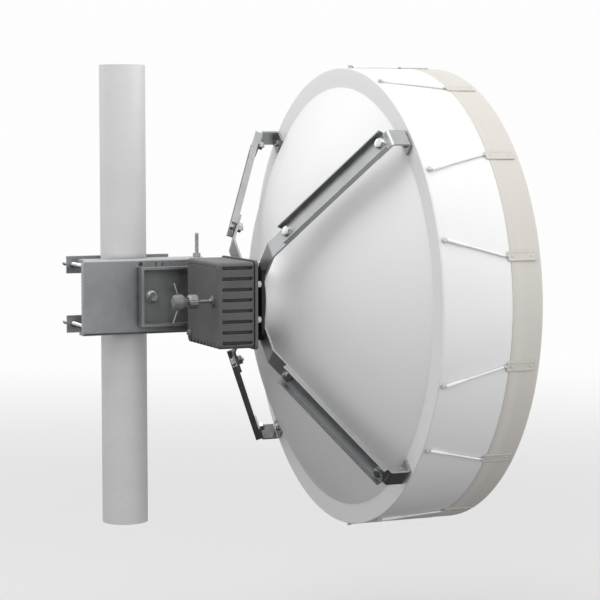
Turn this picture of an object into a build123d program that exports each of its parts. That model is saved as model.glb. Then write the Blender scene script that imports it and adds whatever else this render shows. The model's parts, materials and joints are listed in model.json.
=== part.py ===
"""Outdoor wireless bridge: a shrouded dish with a ribbed radio, clamped to the side of a mast.

Frame: +Z is up.  The origin is the centre of the mast's lower end, so the mast's axis is the Z axis.
The dish faces -Y.  Most parts are placed from the dish centre, the middle of the reflector's rim
plane, through at(x, y, z): x to the mast's side, y backwards along the dish axis, z up.
All lengths are in millimetres.
"""

import os
from math import cos, radians, sin, sqrt

from build123d import *

os.makedirs("parts", exist_ok=True)

# ---------------------------------------------------------------- driving dimensions
mast_radius = 44.45
mast_wall = 3.2
mast_length = 893.0
mast_clearance = 0.3
dish_height = 448.0
mast_side_offset = 212.0
mast_back_offset = 364.0

shroud_radius = 437.0
shroud_wall = 2.5
seam_depth = 137.0
dish_depth = 199.6
reflector_radius = 400.0
reflector_depth = 143.0
sheet = 2.5

tab_count = 14
cord_radius = 2.0
cord_lean = 4.0

strut_width = 42.0
strut_depth = 12.0
strut_sheet = 3.0
strut_inner = (187.4, 161.0)
strut_outer = (413.7, 50.0)
arm_sheet = 4.0

bracket_sheet = 6.0
bracket_height = 146.0
bracket_face = 144.3
bracket_front = 222.0
bracket_back = 466.0
strap_height = 58.0
strap_width = 34.0
strap_sheet = 4.0
stud_spread = 91.0
stud_radius = 5.0

tilt_sheet = 4.8
tilt_height = 114.0
tilt_side = 144.0
tilt_flange = 25.0
tilt_front = 189.0
tilt_back = 358.0
pivot_back = 331.0
pivot_radius = 6.0

rod_side = 157.0
rod_back = 232.0
rod_low = 0.0
rod_top = 120.0
rod_radius = 4.0

radio_width = 169.0
radio_height = 160.0
radio_drop = -4.0
radio_front = 209.0
radio_back = 279.0
flange_front = 202.0
fin_count = 8
fin_pitch = 19.8

slack = 0.25  # radial clearance of a bolt in its hole


# ---------------------------------------------------------------- placing helpers
def at(x, y, z):
    """A point given from the dish centre."""
    return Vector(x - mast_side_offset, y - mast_back_offset, z + dish_height)


def facing_back(x, y, z):
    """A plane whose normal points backwards, along the dish axis."""
    return Plane(origin=at(x, y, z), x_dir=(-1, 0, 0), z_dir=(0, 1, 0))


def facing_front(y):
    """A plane across the dish axis whose normal points to the front; its Y axis points up."""
    return Plane(origin=at(0, y, 0), x_dir=(1, 0, 0), z_dir=(0, -1, 0))


def facing_side(x, y, z):
    """A plane whose normal points to the mast's side; its X axis points backwards, its Y axis up."""
    return Plane(origin=at(x, y, z), x_dir=(0, 1, 0), z_dir=(1, 0, 0))


def around(angle, radius, y):
    """The point at that radius and angle round the dish axis."""
    return at(radius * cos(radians(angle)), y, radius * sin(radians(angle)))


def radial_plane(angle):
    """A plane through the dish axis: X runs outwards, Y runs backwards."""
    outwards = Vector(cos(radians(angle)), 0, sin(radians(angle)))
    return Plane(origin=at(0, 0, 0), x_dir=outwards, z_dir=outwards.cross(Vector(0, 1, 0)))


def paraboloid_height(radius):
    """Height of the reflector's back above its rim plane."""
    return reflector_depth * (1 - (radius / reflector_radius) ** 2)


def parabola(inner, outer, lift):
    """Control points of the parabola from one radius to another; three of them draw it exactly."""
    slope = -2 * reflector_depth * inner / reflector_radius**2
    middle = (inner + outer) / 2
    start = (inner, paraboloid_height(inner) + lift)
    control = (middle, start[1] + slope * (middle - inner))
    return start, control, (outer, paraboloid_height(outer) + lift)


def finish(node, label):
    node.part.label = label
    export_step(node.part, f"parts/{label}.step")


profile_plane = Plane(at(0, 0, 0))
dish_axis = Axis(at(0, 0, 0), (0, 1, 0))

# ---------------------------------------------------------------- mast
with BuildPart() as mast:
    with BuildSketch():
        Circle(mast_radius)
        Circle(mast_radius - mast_wall, mode=Mode.SUBTRACT)
    extrude(amount=mast_length)
finish(mast, "mast")

# ---------------------------------------------------------------- bracket on the mast
flange_reach = 175.0
window_back = 300.0
window_height = 88.0
earth_hole = 4.25
bracket_length = bracket_back - bracket_front
bracket_middle = (bracket_back + bracket_front) / 2
web_inside = bracket_face + bracket_sheet
channel_inside = bracket_height - 2 * bracket_sheet

with BuildPart() as pole_bracket:
    with BuildSketch(Plane(origin=at(0, bracket_front, 0), x_dir=(-1, 0, 0), z_dir=(0, 1, 0))):
        with Locations((-(bracket_face + flange_reach) / 2, 0)):
            Rectangle(flange_reach - bracket_face, bracket_height)
        with Locations((-(web_inside + flange_reach + 1) / 2, 0)):
            Rectangle(flange_reach + 1 - web_inside, channel_inside, mode=Mode.SUBTRACT)
    extrude(amount=bracket_length)
    folds = pole_bracket.edges().filter_by(Axis.Y).group_by(Axis.X)[0]
    fillet(folds, bracket_sheet * 0.9)
    with BuildSketch(Plane.XY):
        Circle(mast_radius + mast_clearance)
    extrude(amount=mast_length, mode=Mode.SUBTRACT)
    # open window for the fine-adjustment pin, between an upper and a lower arm
    with BuildSketch(facing_side(bracket_face - 1, 0, 0)):
        with Locations((window_back - 60, 0)):
            RectangleRounded(120, window_height, 10)
        with Locations((mast_back_offset, 0)):
            with GridLocations(2 * stud_spread, 2 * strap_height, 2, 2):
                Circle(stud_radius)
        with Locations((pivot_back, 0)):
            Circle(pivot_radius + slack)
        with Locations((352, 62.2)):
            Circle(earth_hole)
        with Locations((308, 61), (321, 61)):
            SlotOverall(11, 4, rotation=90)
    extrude(amount=bracket_sheet + 2, mode=Mode.SUBTRACT)
    # slot of the fine-adjustment rod in the upper flange
    with BuildSketch(Plane(at(rod_side, rod_back, bracket_height / 2 + 1))):
        SlotOverall(13, 2 * rod_radius + 1, rotation=90)
    extrude(amount=-(bracket_sheet + 2), mode=Mode.SUBTRACT)
finish(pole_bracket, "pole_bracket")

# ---------------------------------------------------------------- straps round the mast
saddle_inside = mast_radius + mast_clearance
ear_inside = 34.0
ear_length = 105.0


def saddle_strap(height, label):
    """A flat strap with a saddle that fits the mast and two ears for the studs."""
    with BuildPart() as strap:
        with BuildSketch(Plane.XY.offset(dish_height + height - strap_width / 2)):
            with Locations((ear_inside + strap_sheet / 2, 0)):
                Rectangle(strap_sheet, 2 * ear_length)
            Circle(saddle_inside + strap_sheet)
            Circle(saddle_inside, mode=Mode.SUBTRACT)
            with Locations((ear_inside - 60, 0)):
                Rectangle(120, 240, mode=Mode.SUBTRACT)
        extrude(amount=strap_width)
        with BuildSketch(facing_side(mast_side_offset + ear_inside - 1, mast_back_offset, height)):
            with Locations((-stud_spread, 0), (stud_spread, 0)):
                Circle(stud_radius + slack)
        extrude(amount=strap_sheet + 2, mode=Mode.SUBTRACT)
    finish(strap, label)


saddle_strap(strap_height, "upper_strap")
saddle_strap(-strap_height, "lower_strap")

# ---------------------------------------------------------------- clamp studs, washers and nuts
stud_end = 307.0
ear_face = mast_side_offset + ear_inside + strap_sheet
stud_places = [
    (mast_back_offset + side * stud_spread, level * strap_height) for side in (-1, 1) for level in (-1, 1)
]

with BuildPart() as clamp_studs:
    for back, height in stud_places:
        with BuildSketch(facing_side(bracket_face, back, height)):
            Circle(stud_radius)
        extrude(amount=stud_end - bracket_face)
finish(clamp_studs, "clamp_studs")

with BuildPart() as clamp_washers:
    for back, height in stud_places:
        with BuildSketch(facing_side(ear_face, back, height)):
            Circle(10.5)
            Circle(stud_radius + slack, mode=Mode.SUBTRACT)
        extrude(amount=2)
finish(clamp_washers, "clamp_washers")

with BuildPart() as clamp_nuts:
    for back, height in stud_places:
        with BuildSketch(facing_side(ear_face + 2, back, height)):
            RegularPolygon(8.5, 6, major_radius=False)
            Circle(stud_radius, mode=Mode.SUBTRACT)
        extrude(amount=8.4)
finish(clamp_nuts, "clamp_nuts")

# ---------------------------------------------------------------- bracket that tilts with the dish
base_side = 92.0
tilt_length = tilt_back - tilt_front
tilt_open = tilt_side - tilt_flange

with BuildPart() as tilt_bracket:
    with BuildSketch(facing_side(tilt_open, (tilt_front + tilt_back) / 2, 0)):
        Rectangle(tilt_length, tilt_height)
    extrude(amount=tilt_flange)
    fillet(tilt_bracket.edges().group_by(Axis.X)[-1], 4)
    with BuildSketch(facing_side(tilt_open, (tilt_front + tilt_back) / 2, 0)):
        Rectangle(tilt_length - 2 * tilt_sheet, tilt_height - 2 * tilt_sheet)
    extrude(amount=tilt_flange - tilt_sheet, mode=Mode.SUBTRACT)
    with BuildSketch(facing_back((base_side + tilt_open) / 2, tilt_front, 0)):
        Rectangle(tilt_open - base_side, tilt_height)
    extrude(amount=tilt_sheet)
    with BuildSketch(facing_side(tilt_side - tilt_sheet - 1, pivot_back, 0)):
        Circle(pivot_radius + slack)
        with Locations((rod_back - pivot_back, rod_low)):
            Circle(4)
    extrude(amount=tilt_sheet + 2, mode=Mode.SUBTRACT)
    with BuildSketch(facing_back(105, tilt_front - 1, 0)):
        with GridLocations(1, 30, 1, 4):
            Circle(4 + slack)
    extrude(amount=tilt_sheet + 2, mode=Mode.SUBTRACT)
finish(tilt_bracket, "tilt_bracket")

with BuildPart() as pivot_bolt:
    with BuildSketch(facing_side(tilt_side - tilt_sheet - 2, pivot_back, 0)):
        RegularPolygon(9.5, 6, major_radius=False)
    extrude(amount=-7.5)
    with BuildSketch(facing_side(tilt_side - tilt_sheet - 2, pivot_back, 0)):
        Circle(pivot_radius)
    extrude(amount=29)
finish(pivot_bolt, "pivot_bolt")

with BuildPart() as pivot_washers:
    with BuildSketch(facing_side(tilt_side - tilt_sheet - 2, pivot_back, 0)):
        Circle(12)
        Circle(pivot_radius + slack, mode=Mode.SUBTRACT)
    extrude(amount=1.7)
    with BuildSketch(facing_side(web_inside, pivot_back, 0)):
        Circle(12)
        Circle(pivot_radius + slack, mode=Mode.SUBTRACT)
    extrude(amount=2)
finish(pivot_washers, "pivot_washers")

with BuildPart() as pivot_nut:
    with BuildSketch(facing_side(web_inside + 2, pivot_back, 0)):
        RegularPolygon(9.5, 6, major_radius=False)
        Circle(pivot_radius, mode=Mode.SUBTRACT)
    extrude(amount=10)
finish(pivot_nut, "pivot_nut")

# ---------------------------------------------------------------- fine adjustment of the tilt
eye_front = 152.5
eye_thickness = 9.0
eye_radius = 12.0
pin_play = 2.2

with BuildPart() as adjuster_rod:
    with BuildSketch(Plane(at(rod_side, rod_back, rod_low + eye_radius - 3))):
        Circle(rod_radius)
    extrude(amount=rod_top - rod_low - eye_radius + 3)
    with BuildSketch(facing_side(eye_front, rod_back, rod_low)):
        Circle(eye_radius)
    extrude(amount=eye_thickness)
    with BuildSketch(facing_side(eye_front - 1, rod_back, rod_low)):
        Circle(4 + pin_play)
    extrude(amount=eye_thickness + 2, mode=Mode.SUBTRACT)
finish(adjuster_rod, "adjuster_rod")

with BuildPart() as adjuster_pin:
    with BuildSketch(facing_side(tilt_side - tilt_sheet, rod_back, rod_low)):
        Circle(4)
    extrude(amount=tilt_sheet + 22)
    with BuildSketch(facing_side(tilt_side, rod_back, rod_low)):
        Circle(8)
    extrude(amount=eye_front - tilt_side - 0.8)
    with BuildSketch(facing_side(eye_front + eye_thickness + 0.8, rod_back, rod_low)):
        Circle(8)
    extrude(amount=4.2)
finish(adjuster_pin, "adjuster_pin")

with BuildPart() as adjuster_nuts:
    for start, height in ((bracket_height / 2, 8), (bracket_height / 2 - bracket_sheet, -8)):
        with BuildSketch(Plane(at(rod_side, rod_back, start))):
            RegularPolygon(6.5, 6, major_radius=False, rotation=30)
            Circle(rod_radius + 0.2, mode=Mode.SUBTRACT)
        extrude(amount=height)
finish(adjuster_nuts, "adjuster_nuts")

# ---------------------------------------------------------------- hub behind the reflector
boss_face = 179.0
boss_rim = 70.0
boss_neck = 38.0
boss_bore = 30.0
boss_foot = 112.0
arm_inner = 42.0
arm_screw = 56.0
plate_front = boss_face + arm_sheet
flare_control = (88.0, paraboloid_height(boss_foot) + 5.6)

with BuildPart() as hub_boss:
    with BuildSketch(profile_plane):
        with BuildLine():
            start, control, end = parabola(boss_bore, boss_foot, 0)
            Bezier(start, control, end)
            Bezier(end, flare_control, (boss_rim, boss_face - 34), (boss_rim, boss_face - 12))
            Polyline(
                (boss_rim, boss_face - 12),
                (boss_rim, boss_face),
                (boss_neck, boss_face),
                (boss_neck, plate_front),
                (boss_bore, plate_front),
                start,
            )
        make_face()
    revolve(axis=dish_axis)
finish(hub_boss, "hub_boss")

spacer_x = 66.0
spacer_z = 33.0
hub_left = -73.0
hub_right = 118.0
hub_height = 144.0
hub_middle = (hub_left + hub_right) / 2

with BuildPart() as hub_plate:
    with BuildSketch(facing_back(hub_middle, plate_front, 0)) as outline:
        Rectangle(hub_right - hub_left, hub_height)
        chamfer(outline.vertices(), 12)
        with Locations((hub_middle, 0)):
            Circle(boss_bore, mode=Mode.SUBTRACT)
            with PolarLocations(arm_screw, 4, start_angle=45):
                Circle(3 + slack, mode=Mode.SUBTRACT)
        with Locations((hub_middle - 105, 0)):
            with GridLocations(1, 30, 1, 4):
                Circle(4 + slack, mode=Mode.SUBTRACT)
    extrude(amount=tilt_front - plate_front)
finish(hub_plate, "hub_plate")

with BuildPart() as bracket_bolts:
    for height in (-45, -15, 15, 45):
        with BuildSketch(facing_back(105, tilt_front + tilt_sheet, height)):
            RegularPolygon(6.5, 6, major_radius=False)
        extrude(amount=5.3)
        with BuildSketch(facing_back(105, plate_front, height)):
            Circle(4)
        extrude(amount=tilt_front + tilt_sheet - plate_front)
        with BuildSketch(facing_back(105, plate_front, height)):
            RegularPolygon(6.5, 6, major_radius=False)
        extrude(amount=-6.5)
finish(bracket_bolts, "bracket_bolts")

# ---------------------------------------------------------------- four struts from the hub to the rim
strut_angles = (45, 135, 225, 315)
run_out = strut_outer[0] - strut_inner[0]
run_down = strut_outer[1] - strut_inner[1]
strut_span = sqrt(run_out**2 + run_down**2)
along = (run_out / strut_span, run_down / strut_span)
normal = (-along[1], along[0])
strut_end = 12.0
under = -(strut_sheet + arm_sheet) / 2


def beside_strut(distance, lift):
    """A point in the radial plane: that far along the strut, and that far behind its web."""
    return (
        strut_inner[0] + along[0] * distance + normal[0] * lift,
        strut_inner[1] + along[1] * distance + normal[1] * lift,
    )


def strut_plane(angle, distance, lift):
    """A plane on the strut: X along it and outwards, Z away from the reflector."""
    outwards, back = beside_strut(distance, lift)
    tilted_x = Vector(along[0] * cos(radians(angle)), along[1], along[0] * sin(radians(angle)))
    tilted_z = Vector(normal[0] * cos(radians(angle)), normal[1], normal[0] * sin(radians(angle)))
    return Plane(origin=around(angle, outwards, back), x_dir=tilted_x, z_dir=tilted_z)


arm_level = boss_face + arm_sheet / 2
arm_start = beside_strut(0, under)
bend_out = arm_start[0] - (arm_level - arm_start[1]) * along[0] / -along[1]
rim_leg = 430.0
rim_corner = (rim_leg - strut_inner[0] - normal[0] * under) / along[0]
bolt_radius = 5.0

for number, angle in enumerate(strut_angles, start=1):
    with BuildPart() as hub_arm:
        with BuildSketch(radial_plane(angle)):
            with BuildLine():
                FilletPolyline((arm_inner, arm_level), (bend_out, arm_level), beside_strut(18, under), radius=14)
            trace(line_width=arm_sheet)
        extrude(amount=strut_width / 2 - 3.5, both=True)
        with BuildSketch(strut_plane(angle, 0, 0)):
            Circle(bolt_radius + slack)
        extrude(amount=20, both=True, mode=Mode.SUBTRACT)
        with BuildSketch(facing_back(0, 0, 0)):
            with Locations((-arm_screw * cos(radians(angle)), arm_screw * sin(radians(angle)))):
                Circle(3 + slack)
        extrude(amount=200, mode=Mode.SUBTRACT)
    finish(hub_arm, f"hub_arm_{number}")

    with BuildPart() as strut:
        with BuildSketch(strut_plane(angle, strut_span / 2, -strut_sheet / 2)):
            Rectangle(strut_span + 2 * strut_end, strut_width)
        extrude(amount=strut_depth)
        with BuildSketch(strut_plane(angle, strut_span / 2, strut_sheet / 2)):
            Rectangle(strut_span + 2 * strut_end + 2, strut_width - 2 * strut_sheet)
        extrude(amount=strut_depth, mode=Mode.SUBTRACT)
        with BuildSketch(strut_plane(angle, strut_span / 2, 0)):
            with GridLocations(strut_span, 1, 2, 1):
                Circle(bolt_radius + slack)
        extrude(amount=10, both=True, mode=Mode.SUBTRACT)
    finish(strut, f"strut_{number}")

    with BuildPart() as rim_bracket:
        with BuildSketch(radial_plane(angle)):
            with BuildLine():
                FilletPolyline(
                    (404, arm_sheet / 2),
                    (rim_leg, arm_sheet / 2),
                    beside_strut(rim_corner, under),
                    beside_strut(strut_span - 20, under),
                    radius=5,
                )
            trace(line_width=arm_sheet)
        extrude(amount=strut_width / 2 - 3, both=True)
        with BuildSketch(strut_plane(angle, strut_span, 0)):
            Circle(bolt_radius + slack)
        extrude(amount=12, both=True, mode=Mode.SUBTRACT)
        with BuildSketch(facing_back(0, -1, 0)):
            with Locations((-416 * cos(radians(angle)), 416 * sin(radians(angle)))):
                Circle(4 + slack)
        extrude(amount=arm_sheet + 3, mode=Mode.SUBTRACT)
    finish(rim_bracket, f"rim_bracket_{number}")

with BuildPart() as strut_bolts:
    for angle in strut_angles:
        for distance in (0, strut_span):
            with BuildSketch(strut_plane(angle, distance, strut_sheet / 2)):
                Circle(10)
            extrude(amount=1.8)
            with BuildSketch(strut_plane(angle, distance, strut_sheet / 2 + 1.8)):
                RegularPolygon(8.5, 6, major_radius=False)
            extrude(amount=6.4)
            with BuildSketch(strut_plane(angle, distance, strut_sheet / 2)):
                Circle(bolt_radius)
            extrude(amount=-(strut_sheet + arm_sheet + 11))
finish(strut_bolts, "strut_bolts")

with BuildPart() as strut_nuts:
    for angle in strut_angles:
        for distance in (0, strut_span):
            with BuildSketch(strut_plane(angle, distance, under - arm_sheet / 2)):
                RegularPolygon(8.5, 6, major_radius=False)
                Circle(bolt_radius, mode=Mode.SUBTRACT)
            extrude(amount=-8)
finish(strut_nuts, "strut_nuts")

with BuildPart() as arm_screws:
    for angle in strut_angles:
        with BuildSketch(Plane(around(angle, arm_screw, tilt_front), z_dir=(0, 1, 0))):
            Circle(5.5)
        extrude(amount=3.3)
        with BuildSketch(Plane(around(angle, arm_screw, tilt_front), z_dir=(0, 1, 0))):
            Circle(3)
        extrude(amount=boss_face - tilt_front)
finish(arm_screws, "arm_screws")

with BuildPart() as rim_bolts:
    for angle in strut_angles:
        with BuildSketch(Plane(around(angle, 416, arm_sheet), z_dir=(0, 1, 0))):
            RegularPolygon(6.5, 6, major_radius=False)
        extrude(amount=5.3)
        with BuildSketch(Plane(around(angle, 416, arm_sheet), z_dir=(0, 1, 0))):
            Circle(4)
        extrude(amount=-(arm_sheet + 2 * sheet))
finish(rim_bolts, "rim_bolts")

# ---------------------------------------------------------------- reflector and shroud
with BuildPart() as reflector:
    with BuildSketch(profile_plane):
        with BuildLine():
            start, control, end = parabola(boss_bore, reflector_radius, 0)
            Bezier(start, control, end)
            Polyline(end, (shroud_radius, 0), (shroud_radius, -sheet), (reflector_radius, -sheet))
            inner_start, inner_control, inner_end = parabola(boss_bore, reflector_radius, -sheet)
            Bezier(inner_start, inner_control, inner_end)
            Line(inner_start, start)
        make_face()
    revolve(axis=dish_axis)
    with BuildSketch(facing_back(0, -sheet - 1, 0)):
        with PolarLocations(416, 4, start_angle=45):
            Circle(4 + slack)
    extrude(amount=sheet + 2, mode=Mode.SUBTRACT)
finish(reflector, "reflector")

shroud_lip = 408.0
step_in = 2.7
skirt_end = dish_depth - 6
inner_wall = shroud_radius - shroud_wall

with BuildPart() as shroud:
    with BuildSketch(profile_plane):
        with BuildLine():
            Polyline(
                (shroud_lip, -sheet),
                (shroud_radius, -sheet),
                (shroud_radius, -seam_depth),
                (shroud_radius - step_in, -seam_depth),
                (shroud_radius - step_in, -skirt_end),
                (inner_wall - step_in, -skirt_end),
                (inner_wall - step_in, -seam_depth + shroud_wall),
                (inner_wall, -seam_depth + shroud_wall),
                (inner_wall, -2 * sheet),
                (shroud_lip, -2 * sheet),
                close=True,
            )
        make_face()
    revolve(axis=dish_axis)
    with BuildSketch(facing_back(0, -2 * sheet - 1, 0)):
        with PolarLocations(416, 4, start_angle=45):
            Circle(4 + slack)
    extrude(amount=sheet + 2, mode=Mode.SUBTRACT)
finish(shroud, "shroud")

with BuildPart() as absorber_lining:
    with BuildSketch(profile_plane):
        with Locations((inner_wall - step_in - 10.5, -(skirt_end + 16) / 2)):
            Rectangle(20, skirt_end - 20)
    revolve(axis=dish_axis)
finish(absorber_lining, "absorber_lining")

# ---------------------------------------------------------------- radome with its tabs and cords
radome_sheet = 2.4

with BuildPart() as radome:
    with BuildSketch(profile_plane):
        with BuildLine():
            Polyline(
                (0, -dish_depth),
                (shroud_radius - 5, -dish_depth),
            )
            RadiusArc((shroud_radius - 5, -dish_depth), (shroud_radius, -dish_depth + 5), -5)
            Polyline(
                (shroud_radius, -dish_depth + 5),
                (shroud_radius, -seam_depth),
                (shroud_radius - radome_sheet, -seam_depth),
                (shroud_radius - radome_sheet, -dish_depth + radome_sheet),
                (0, -dish_depth + radome_sheet),
                (0, -dish_depth),
            )
        make_face()
    revolve(axis=dish_axis)
finish(radome, "radome")

tab_width = 18.0
tab_length = 58.0
tab_sheet = 2.2
tab_middle = 160.0
tab_radius = shroud_radius + 0.1 + tab_sheet / 2
tab_step = 360 / tab_count

with BuildPart() as radome_tabs:
    with BuildSketch(facing_front(-tab_middle + tab_length / 2)):
        with PolarLocations(tab_radius, tab_count, start_angle=90):
            Rectangle(tab_sheet, tab_width)
    extrude(amount=tab_length)
finish(radome_tabs, "radome_tabs")

cord_line = shroud_radius + cord_radius + 0.3
cord_front = -(tab_middle - tab_length / 2) + 6
cord_back = -15.0
anchor_length = 6.0
cords = []
for place in range(tab_count):
    lean = -cord_lean if place % 2 == 0 else cord_lean
    tab_angle = 90 + place * tab_step
    anchor_angle = tab_angle - lean
    front_end = around(tab_angle, cord_line, cord_front)
    back_end = around(anchor_angle, cord_line, cord_back)
    cords.append((front_end, back_end, anchor_angle))

with BuildPart() as tension_cords:
    for front, back, _ in cords:
        with BuildSketch(Plane(origin=front, z_dir=back - front)):
            Circle(cord_radius)
        extrude(amount=(back - front).length)
finish(tension_cords, "tension_cords")

with BuildPart() as cord_hooks:
    for place in range(tab_count):
        hook_plane = Plane(
            origin=around(90 + place * tab_step, cord_line, cord_front - 5.9),
            z_dir=(0, 1, 0),
        )
        with BuildSketch(hook_plane):
            Circle(cord_radius + 0.2)
        extrude(amount=5.2)
finish(cord_hooks, "cord_hooks")

with BuildPart() as cord_anchors:
    for _, _, angle in cords:
        outwards = Vector(cos(radians(angle)), 0, sin(radians(angle)))
        with BuildSketch(Plane(origin=around(angle, shroud_radius, cord_back + 5.3), z_dir=outwards)):
            Circle(4.5)
        extrude(amount=anchor_length)
finish(cord_anchors, "cord_anchors")

# ---------------------------------------------------------------- feed
tube_radius = 12.0
tube_bore = 9.5
tube_end = -96.0
horn_radius = 44.0
horn_end = -128.0

with BuildPart() as feed_tube:
    with BuildSketch(profile_plane):
        with Locations(((tube_radius + tube_bore) / 2, (tilt_front + tube_end) / 2)):
            Rectangle(tube_radius - tube_bore, tilt_front - tube_end)
    revolve(axis=dish_axis)
finish(feed_tube, "feed_tube")

with BuildPart() as feed_collar:
    with BuildSketch(profile_plane):
        with Locations(((tube_radius + boss_bore) / 2 + 0.1, 160)):
            Rectangle(boss_bore - tube_radius - 0.4, 40)
    revolve(axis=dish_axis)
finish(feed_collar, "feed_collar")

with BuildPart() as feed_cone:
    with BuildSketch(profile_plane):
        with BuildLine():
            Polyline(
                (0, tube_end),
                (tube_radius, tube_end),
                (tube_radius + 4, tube_end - 6),
                (horn_radius, horn_end),
                (0, horn_end),
                (0, tube_end),
            )
        make_face()
    revolve(axis=dish_axis)
finish(feed_cone, "feed_cone")

with BuildPart() as subreflector:
    with BuildSketch(profile_plane):
        with BuildLine():
            Polyline(
                (0, horn_end),
                (horn_radius + 3, horn_end),
                (horn_radius + 3, horn_end - 4),
                (0, horn_end - 7),
                (0, horn_end),
            )
        make_face()
    revolve(axis=dish_axis)
finish(subreflector, "subreflector")

with BuildPart() as waveguide_adapter:
    with BuildSketch(facing_back(0, tilt_front, 0)):
        Circle(46)
        Circle(tube_bore, mode=Mode.SUBTRACT)
    extrude(amount=flange_front - tilt_front)
finish(waveguide_adapter, "waveguide_adapter")

with BuildPart() as radio_spacers:
    with BuildSketch(facing_back(0, tilt_front, 0)):
        with GridLocations(2 * spacer_x, 2 * spacer_z, 2, 2):
            Circle(6)
    extrude(amount=flange_front - tilt_front)
finish(radio_spacers, "radio_spacers")

# ---------------------------------------------------------------- radio
flange_width = radio_width + 6
flange_height = radio_height + 6
wall = 11.0
cavity_width = radio_width - 2 * wall
cavity_height = radio_height - 2 * wall
fin_gap = 5.0
fin_depth = 6.0

with BuildPart() as radio_flange:
    with BuildSketch(facing_back(0, flange_front, radio_drop)):
        RectangleRounded(flange_width, flange_height, 8)
    extrude(amount=radio_front - flange_front - 1.2)
    with BuildSketch(facing_back(0, flange_front, 0)):
        Circle(tube_bore)
    extrude(amount=radio_front - flange_front, mode=Mode.SUBTRACT)
finish(radio_flange, "radio_flange")

with BuildPart() as radio_gasket:
    with BuildSketch(facing_back(0, radio_front - 1.2, radio_drop)):
        RectangleRounded(radio_width - 2, radio_height - 2, 8)
        RectangleRounded(cavity_width, cavity_height, 4, mode=Mode.SUBTRACT)
    extrude(amount=1.2)
finish(radio_gasket, "radio_gasket")

with BuildPart() as radio_housing:
    with BuildSketch(facing_back(0, radio_front, radio_drop)):
        RectangleRounded(radio_width, radio_height, 7)
    extrude(amount=radio_back - radio_front)
    chamfer(radio_housing.faces().sort_by(Axis.Y)[-1].edges(), 4)
    with BuildSketch(facing_back(0, radio_front, radio_drop)):
        RectangleRounded(cavity_width, cavity_height, 4)
    extrude(amount=radio_back - radio_front - 6, mode=Mode.SUBTRACT)
    # grooves that leave a stack of fins on both sides
    with BuildSketch(facing_back(0, radio_front + 4, radio_drop)):
        with GridLocations(radio_width, fin_pitch, 2, fin_count):
            Rectangle(2 * fin_depth, fin_gap)
    extrude(amount=radio_back - radio_front - 12, mode=Mode.SUBTRACT)
finish(radio_housing, "radio_housing")

with BuildPart() as circuit_board:
    with BuildSketch(facing_back(0, radio_front + 30, radio_drop)):
        Rectangle(cavity_width - 6, cavity_height - 6)
        with GridLocations(cavity_width - 18, cavity_height - 18, 2, 2):
            Circle(1.7, mode=Mode.SUBTRACT)
    extrude(amount=1.6)
finish(circuit_board, "circuit_board")

with BuildPart() as rf_module:
    with BuildSketch(facing_back(0, radio_front, radio_drop)):
        RectangleRounded(96, 84, 4)
    extrude(amount=24)
    with BuildSketch(facing_back(0, radio_front, 0)):
        Circle(tube_bore)
    extrude(amount=16, mode=Mode.SUBTRACT)
finish(rf_module, "rf_module")

with BuildPart() as heat_spreader:
    with BuildSketch(facing_back(0, radio_front + 34, radio_drop)):
        Rectangle(90, 70)
    extrude(amount=radio_back - radio_front - 40)
finish(heat_spreader, "heat_spreader")

with BuildPart() as board_screws:
    with BuildSketch(facing_back(0, radio_front + 31.6, radio_drop)):
        with GridLocations(cavity_width - 18, cavity_height - 18, 2, 2):
            Circle(3)
    extrude(amount=2)
finish(board_screws, "board_screws")

with BuildPart() as flange_screws:
    with BuildSketch(facing_back(0, flange_front, radio_drop)):
        with GridLocations(radio_width - 12, radio_height - 12, 2, 2):
            RegularPolygon(4, 6, major_radius=False)
    extrude(amount=-3.5)
finish(flange_screws, "flange_screws")

# ---------------------------------------------------------------- connector on the radio's back
plug_x = -56.0
plug_z = 4.0
stem_end = 309.0

with BuildPart() as connector_stem:
    with BuildSketch(facing_back(plug_x, radio_back, plug_z)):
        RegularPolygon(9, 6, major_radius=False)
    extrude(amount=4)
    with BuildSketch(facing_back(plug_x, radio_back + 4, plug_z)):
        Circle(3.5)
    extrude(amount=stem_end - radio_back - 4)
    with BuildSketch(facing_back(plug_x, stem_end, plug_z)):
        Circle(6)
    extrude(amount=14)
finish(connector_stem, "connector_stem")

with BuildPart() as coupling_nut:
    with BuildSketch(facing_back(plug_x, stem_end + 0.5, plug_z)):
        Circle(13)
        Circle(6.3, mode=Mode.SUBTRACT)
        with PolarLocations(13, 12):
            Circle(1.6, mode=Mode.SUBTRACT)
    extrude(amount=20)
finish(coupling_nut, "coupling_nut")

with BuildPart() as connector_body:
    with BuildSketch(profile_plane.offset(plug_z)):
        with BuildLine():
            Polyline(
                (plug_x, stem_end + 14),
                (plug_x + 5.8, stem_end + 14),
                (plug_x + 5.8, stem_end + 23),
                (plug_x + 10, stem_end + 27),
                (plug_x + 14, stem_end + 32),
                (plug_x + 14, stem_end + 45),
                (plug_x + 10, stem_end + 49),
                (plug_x, stem_end + 49),
                close=True,
            )
        make_face()
    revolve(axis=Axis(at(plug_x, 0, plug_z), (0, 1, 0)))
finish(connector_body, "connector_body")

wire_radius = 1.3
wire_back = stem_end + 40
wire_reach = 14.5

with BuildPart() as retaining_wires:
    for lift, back, side in ((34, 4, 6), (-38, 10, -4)):
        foot = at(plug_x, wire_back, plug_z + (wire_reach if lift > 0 else -wire_reach))
        tip = at(plug_x + side, wire_back + back, plug_z + lift)
        with BuildSketch(Plane(origin=foot, z_dir=tip - foot)):
            Circle(wire_radius)
        extrude(amount=(tip - foot).length)
finish(retaining_wires, "retaining_wires")

with BuildPart() as vent_plug:
    with BuildSketch(facing_back(66, radio_back, -66)):
        Circle(7)
    extrude(amount=4)
    with BuildSketch(facing_back(66, radio_back + 4, -66)):
        Circle(4)
    extrude(amount=3)
finish(vent_plug, "vent_plug")
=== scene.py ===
"""Looks of the outdoor wireless bridge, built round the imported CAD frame. Sizes are in millimetres."""

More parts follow.
